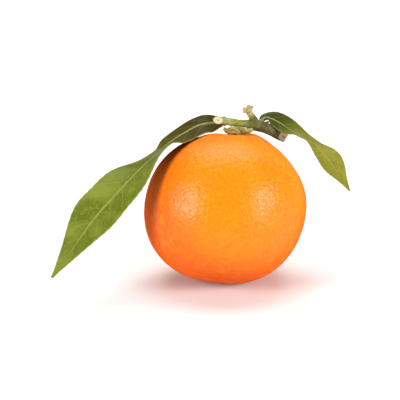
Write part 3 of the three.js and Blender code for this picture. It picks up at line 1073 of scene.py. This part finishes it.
young = tint(tree, young, at_young_end, rgb(0.34, 0.36, 0.18))
older = colour_mix(tree, mottled(tree, 2.6), rgb(0.075, 0.068, 0.018), rgb(0.125, 0.115, 0.038))
colour = colour_mix(tree, age, young, older)
colour = tint(tree, colour, dark_streaks, rgb(0.08, 0.065, 0.02))
colour = tint(tree, colour, specks, rgb(0.34, 0.31, 0.17))
colour = tint(tree, colour, painted(tree, "dry"), rgb(0.44, 0.36, 0.15))
# painted shade in the hollows of the bark
colour = tint(tree, colour, painted(tree, "hollow_shade"), rgb(0.04, 0.035, 0.01), 0.75)
tree.links.new(colour, shader.inputs["Base Color"])
set_plain(shader, Roughness=0.6, Specular_IOR_Level=0.2)
set_relief(tree, shader, streaks, strength=0.6, depth=0.2)
twig.data.materials[0] = bark_finish
print("bark finish:", len(tree.nodes), "nodes")

# %% Cut wood finish
wood_finish, tree, shader = new_finish("cut_wood")
ring = painted(tree, "ring")
colour = colour_mix(tree, mottled(tree, 0.6), rgb(0.56, 0.49, 0.29), rgb(0.68, 0.61, 0.42))
colour = tint(tree, colour, soft_step(tree, ring, 0.3, 0.15), rgb(0.38, 0.27, 0.12))
colour = tint(tree, colour, soft_step(tree, ring, 0.82, 0.97), rgb(0.20, 0.22, 0.06))
tree.links.new(colour, shader.inputs["Base Color"])
set_plain(shader, Roughness=0.8)
set_relief(tree, shader, mottled(tree, 0.3), strength=0.5, depth=0.1)
twig.data.materials[1] = wood_finish
print("cut wood finish:", len(tree.nodes), "nodes")

# %% [markdown]
# ### Leaves
#
# The upper side has a thin wax on a yellowish green, with a pale midrib and faint side veins.
# Both sides darken towards the base with painted shade. The underside is lighter and duller,
# and its veins stand out more. The margin is a fine pale line on both.

# %% Leaf finishes
VEIN_TONE = rgb(0.31, 0.33, 0.09)


def leaf_finish(name, pairs, tones, vein_strength, roughness, raised):
    light, dark, shaded_base = tones
    finish, tree, shader = new_finish(name)
    group = put(tree, "Group", {"Pairs": pairs}, node_tree=veins)
    side, rib, edge = (group.outputs[output] for output in VEINS)
    # painted shade: the blade darkens towards its base
    base_shade = soft_step(tree, along_blade(tree)[1], 0.5, 0.12)
    colour = colour_mix(tree, mottled(tree, 9), dark, light)
    colour = tint(tree, colour, mottled(tree, 1.1, low=0.5, high=0.75), light)
    colour = tint(tree, colour, base_shade, shaded_base)
    for mask, strength in ((side, vein_strength), (rib, 0.7), (edge, 0.5)):
        colour = tint(tree, colour, mask, VEIN_TONE, strength)
    tree.links.new(colour, shader.inputs["Base Color"])
    dullness = soft_step(tree, mottled(tree, 2.5), 0, 1, roughness - 0.05, roughness + 0.05)
    tree.links.new(dullness, shader.inputs["Roughness"])
    net_inputs = {"Vector": object_place(tree), "Scale": 1100.0}
    net = put(tree, "TexVoronoi", net_inputs, feature="DISTANCE_TO_EDGE").outputs["Distance"]
    height = math_node(tree, "ADD", soft_step(tree, net, 0.0, 0.12), times(tree, side, raised))
    set_relief(tree, shader, height, strength=0.35, depth=0.08)
    set_plain(shader, Specular_IOR_Level=0.06, Subsurface_Weight=0.1)
    set_plain(shader, Subsurface_Radius=(0.6, 1.0, 0.2), Subsurface_Scale=0.6 * MM)
    return finish


# %% Petiole finish
petiole_finish, tree, shader = new_finish("petiole_green")
colour = colour_mix(tree, mottled(tree, 2.0), rgb(0.17, 0.18, 0.03), rgb(0.26, 0.26, 0.05))
tree.links.new(colour, shader.inputs["Base Color"])
set_plain(shader, Roughness=0.5)
set_relief(tree, shader, mottled(tree, 0.5), strength=0.3, depth=0.1)
print("petiole finish:", len(tree.nodes), "nodes")

# %% Dress the leaves
# The light and the dark green of a side, and the painted shade near its base
UPPER_TONES = {
    "leaf_left": (rgb(0.178, 0.208, 0.024), rgb(0.104, 0.132, 0.009), rgb(0.048, 0.034, 0.001)),
    "leaf_right": (rgb(0.245, 0.230, 0.026), rgb(0.175, 0.165, 0.015), rgb(0.042, 0.052, 0.004)),
}
# the underside's tones, the last being its painted shade near the base
UNDER_TONES = (rgb(0.18, 0.21, 0.045), rgb(0.13, 0.155, 0.03), rgb(0.11, 0.12, 0.03))
UPPER_SIDE = {"vein_strength": 0.22, "roughness": 0.38, "raised": -0.6}
UNDER_SIDE = {"vein_strength": 0.5, "roughness": 0.6, "raised": 1.0}
for name, (blade, rib) in leaf_pieces.items():
    pairs = LEAVES[name]["vein_pairs"]
    sides = blade.data.materials
    sides[0] = leaf_finish(name + "_upper", pairs, UPPER_TONES[name], **UPPER_SIDE)
    sides[1] = leaf_finish(name + "_under", pairs, UNDER_TONES, **UNDER_SIDE)
    rib.data.materials.append(petiole_finish)
print("finishes:", sorted(finish.name for finish in bpy.data.materials))

# %% [markdown]
# ## Hand the pieces to the model
#
# Each piece rides on the one rigid body of the model and stands in for its CAD solid, which is
# then hidden. Each is listed with the name of its finish slot.

# %% Ride and replace
stands_for = [(peel, "fruit", "peel"), (calyx, "calyx", "calyx"), (twig, "twig", "bark")]
stands_for += [(piece, name, "leaf") for name, both in leaf_pieces.items() for piece in both]
for piece, node, slot in stands_for:
    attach(piece, "root")
    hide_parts(node)
print("pieces:", [piece.name for piece, _, _ in stands_for])

# %% [markdown]
# ## Floor, light and camera
#
# The fruit lies on a wide white floor. Two large soft lights stand left and right in front of it,
# which gives the skin its pair of broad, broken highlights. A larger one hangs above and a little
# behind: it brightens the floor to white and lights the leaves from above. The camera looks
# slightly down, from far enough away that nothing is distorted.

# %% Floor
FLOOR_SIZE = 6  # in metres
BELOW_FRUIT = 0.1 * MM

bpy.ops.mesh.primitive_plane_add(size=FLOOR_SIZE, location=(0, 0, -BELOW_FRUIT))
bpy.ops.object.transform_apply()
floor = named("studio_floor")
floor_finish, _, shader = new_finish("white_floor")
set_plain(shader, Base_Color=rgb(0.85, 0.85, 0.85), Roughness=0.9)
floor.data.materials.append(floor_finish)
print("floor:", FLOOR_SIZE, "m wide")

# %% Lights
# A side in metres, a power in watts, an azimuth and an elevation in degrees, and a distance in
# metres. Azimuth 0 is in front of the fruit, and 90 on its +X side.
SOFTBOXES = {
    "softbox_left": (0.38, 7.3, -58, 19, 0.9),
    "softbox_right": (0.38, 7.7, 57, 18, 0.9),
    "softbox_back": (1.2, 17.5, 180, 68, 1.3),
}
FILL_LIGHT = 0.2


def aim(thing, distance, azimuth, elevation, target):
    """Puts a light or camera round the target and turns it to face it."""
    a, e = math.radians(azimuth), math.radians(elevation)
    back = Vector((math.sin(a) * math.cos(e), -math.cos(a) * math.cos(e), math.sin(e)))
    thing.location = target + back * distance
    thing.rotation_euler = (-back).to_track_quat("-Z", "Y").to_euler()


for name, (size, power, azimuth, elevation, distance) in SOFTBOXES.items():
    bpy.ops.object.light_add(type="AREA")
    light = named(name)
    light.data.size = size
    light.data.energy = power
    aim(light, distance, azimuth, elevation, MIDDLE * MM)

world = bpy.data.worlds.new("studio_air")
world.use_nodes = True
background = world.node_tree.nodes["Background"]
background.inputs["Color"].default_value = rgb(1, 1, 1)
background.inputs["Strength"].default_value = FILL_LIGHT
bpy.context.scene.world = world
print("lights:", sorted(SOFTBOXES))

# %% Camera
CAMERA_DISTANCE = 0.9  # in metres
CAMERA_ELEVATION = 18
LENS, SENSOR_WIDTH = 219, 36  # in mm
LOOKED_AT = Vector((-9.6, -2.8, 31.0)) * MM

bpy.ops.object.camera_add()
camera = named("camera")
camera.data.lens = LENS
camera.data.sensor_width = SENSOR_WIDTH
camera.data.clip_start = 0.05
aim(camera, CAMERA_DISTANCE, 0, CAMERA_ELEVATION, LOOKED_AT)
bpy.context.scene.camera = camera
bpy.context.scene.view_settings.view_transform = "Standard"
print("camera", [round(v, 3) for v in camera.location])
